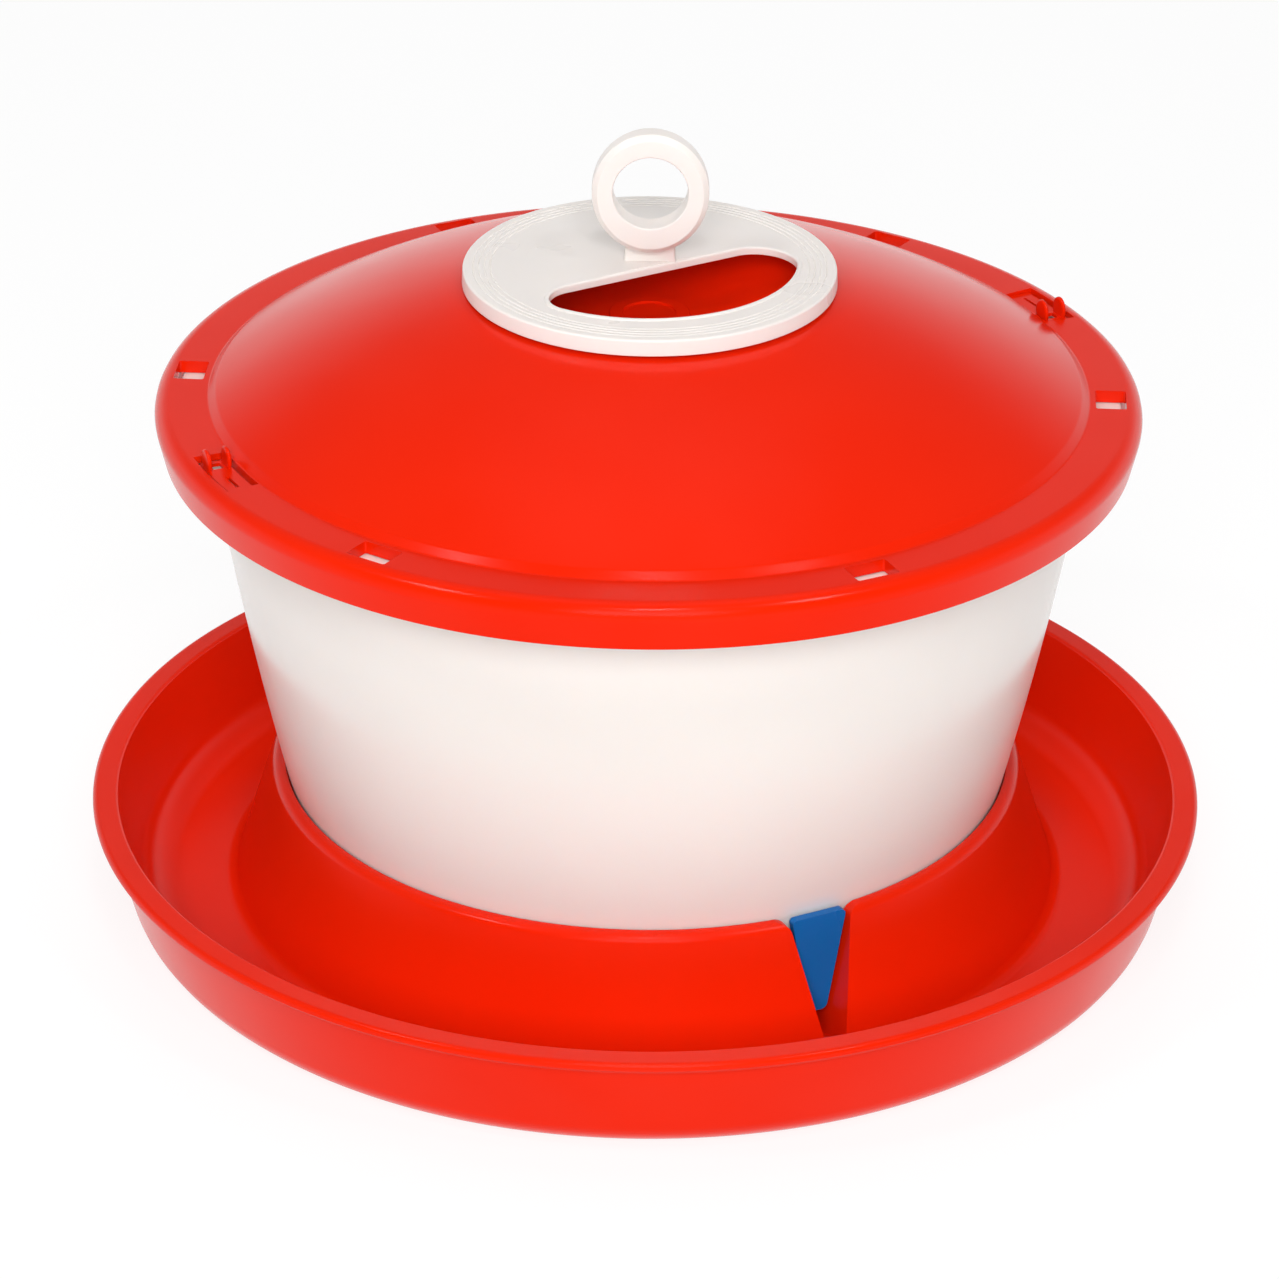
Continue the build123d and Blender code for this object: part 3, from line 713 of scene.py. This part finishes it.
cut(cap, lambda bm: prism(
    bm, half_moon(lip_width - 1), finger_turn @ Matrix.Translation((0, 0, plate_under - 3)), 12))
join(cap, lip)

ring_z = 267.7
ring_half_w = 20.1
ring_half_h = 21.6
ring_hole_r = 12.9
ring_hole_z = 268.4
ring_half = 5.0
ring_chamfer = 1.9
ring_edge = 0.6
neck_front = 0.2
neck_half_w = 8.75
foot_flare = 1.2
head_flare = 1.5


def neck(bm):
    """The short neck between disc and ring, as a stack of rounded oblongs with a soft foot."""
    low, high = cap_top - 0.5, ring_hole_z - ring_hole_r - 3
    middle = (neck_front + ring_half) / 2
    loops = []
    for k in range(17):
        share = k / 16
        foot = foot_flare * max(0.0, 1 - share / 0.3) ** 2
        head = head_flare * max(0.0, (share - 0.5) / 0.5) ** 2
        outline = rectangle(neck_half_w + foot + head, (ring_half - neck_front) / 2, 1.0)
        z = low + share * (high - low)
        loops.append([bm.verts.new((x, y + middle, z)) for x, y in outline])
    skin(bm, loops)
    bm.faces.new(loops[0][::-1])
    bm.faces.new(loops[-1])


def hang_ring(bm):
    """The oval ring with chamfered edges: one section, swept round the hole."""
    lift = ring_hole_z - ring_z
    loops = []
    for k in range(120):
        a = math.tau * k / 120
        edge = Vector((ring_half_w * math.cos(a), ring_half_h * math.sin(a) - lift))
        reach, way = edge.length, edge.normalized()
        section = rounded([
            (ring_hole_r, -ring_half, ring_edge), (reach - ring_chamfer, -ring_half, ring_edge),
            (reach, ring_chamfer - ring_half, ring_edge), (reach, ring_half - ring_chamfer, ring_edge),
            (reach - ring_chamfer, ring_half, ring_edge), (ring_hole_r, ring_half, ring_edge)], 4)
        loops.append([bm.verts.new((r * way.x, y, ring_hole_z + r * way.y)) for r, y in section])
    skin(bm, loops, around=True)


join(cap, neck)
join(cap, hang_ring)
finish_surface(cap, cap_white)
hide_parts("hanger_cap")
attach(cap, "cap")

# ---- Studio ----
# A pale seamless floor, a glow that is strongest behind and at the sides, three small soft
# boxes above the front that draw the highlights, and large fills that leave no highlight.

scene = bpy.context.scene
scene.view_settings.view_transform = "Standard"

floor_side, floor_front, floor_back, floor_depth = 9000, -6000, 12000, 12
floor = piece_from("studio_floor", lambda bm: prism(bm, [
    (-floor_side, floor_front), (floor_side, floor_front),
    (floor_side, floor_back), (-floor_side, floor_back),
], Matrix.Translation((0, 0, -floor_depth)), floor_depth))
# White background paper: matt, and lit so evenly that it nearly fades out.
paper, paper_tree = empty_material("white background paper")
paper_shader = add_node(paper_tree, "ShaderNodeBsdfPrincipled", {
    "Base Color": (0.18, 0.18, 0.18, 1), "Roughness": 0.9, "Specular IOR Level": 0.1,
    "Emission Color": (1, 1, 1, 1), "Emission Strength": 0.84})
add_node(paper_tree, "ShaderNodeOutputMaterial", {"Surface": (paper_shader, "BSDF")})
floor.data.materials.append(paper)
floor.visible_glossy = False

world = bpy.data.worlds.new("studio")
world.use_nodes = True
scene.world = world
sky = world.node_tree
sky.nodes.clear()
direction = add_node(sky, "ShaderNodeTexCoord")
split = add_node(sky, "ShaderNodeSeparateXYZ", {"Vector": (direction, "Generated")})
rise = add_node(sky, "ShaderNodeMapRange", {
    "Value": (split, "Z"), "From Min": 0.15, "From Max": 0.5, "To Min": 1.0, "To Max": 0.18})
behind = add_node(sky, "ShaderNodeMapRange", {
    "Value": (split, "Y"), "From Min": -0.45, "From Max": 0.3, "To Min": 0.12, "To Max": 1.0})
glow = add_node(sky, "ShaderNodeMath", {0: (rise, "Result"), 1: (behind, "Result")},
                operation="MULTIPLY")
background = add_node(sky, "ShaderNodeBackground", {
    "Color": (1, 1, 1, 1), "Strength": (glow, "Value")})
add_node(sky, "ShaderNodeOutputWorld", {"Surface": (background, "Background")})

lit_point = Vector((0, 0, 0.1))


def soft_box(name, place, size, watts, shines=True):
    """A square area light aimed at the object; one that doesn't shine leaves no highlight."""
    light = bpy.data.lights.new(name, "AREA")
    light.shape = "SQUARE"
    light.size = size
    light.energy = watts
    lamp = bpy.data.objects.new(name, light)
    lamp.location = place
    lamp.rotation_mode = "QUATERNION"
    lamp.rotation_quaternion = (lit_point - Vector(place)).to_track_quat("-Z", "Y")
    lamp.visible_glossy = shines
    scene.collection.objects.link(lamp)


soft_box("key_left", (-1.25, -0.72, 1.95), 0.2, 5)
soft_box("key_middle", (0.05, -1.15, 2.1), 0.2, 4)
soft_box("key_right", (1.0, -0.9, 2.0), 0.2, 4)
soft_box("fill_front", (0.0, -2.1, 1.35), 1.2, 50, shines=False)
soft_box("fill_top", (0.0, 0.5, 2.3), 1.4, 10, shines=False)
soft_box("fill_back", (0.0, 2.4, 1.2), 2.0, 10, shines=False)

# ---- Camera ----
# A long lens from the front, 29 degrees above the horizon, aimed near the middle of the rim
# and then turned a little about its three axes.

elevation = math.radians(28.852)
distance = 1.7073
turn_left, tilt_up, roll = 0.0854, 1.5812, -0.5172
aim = Vector((0, 0, rim_top * 0.001))
back = Vector((0, -math.cos(elevation), math.sin(elevation)))
axes = [Vector((1, 0, 0)), Vector((0, math.sin(elevation), math.cos(elevation))), back]
for number, degrees in ((1, turn_left), (0, tilt_up), (2, -roll)):
    turn = Matrix.Rotation(math.radians(degrees), 3, axes[number])
    axes = [turn @ axis for axis in axes]
camera_data = bpy.data.cameras.new("camera")
camera_data.sensor_width = 36.0
camera_data.lens = 132.02
camera_data.clip_end = 50.0
camera = bpy.data.objects.new("camera", camera_data)
camera.matrix_world = Matrix.Translation(aim + back * distance) @ Matrix(axes).transposed().to_4x4()
scene.collection.objects.link(camera)
scene.camera = camera
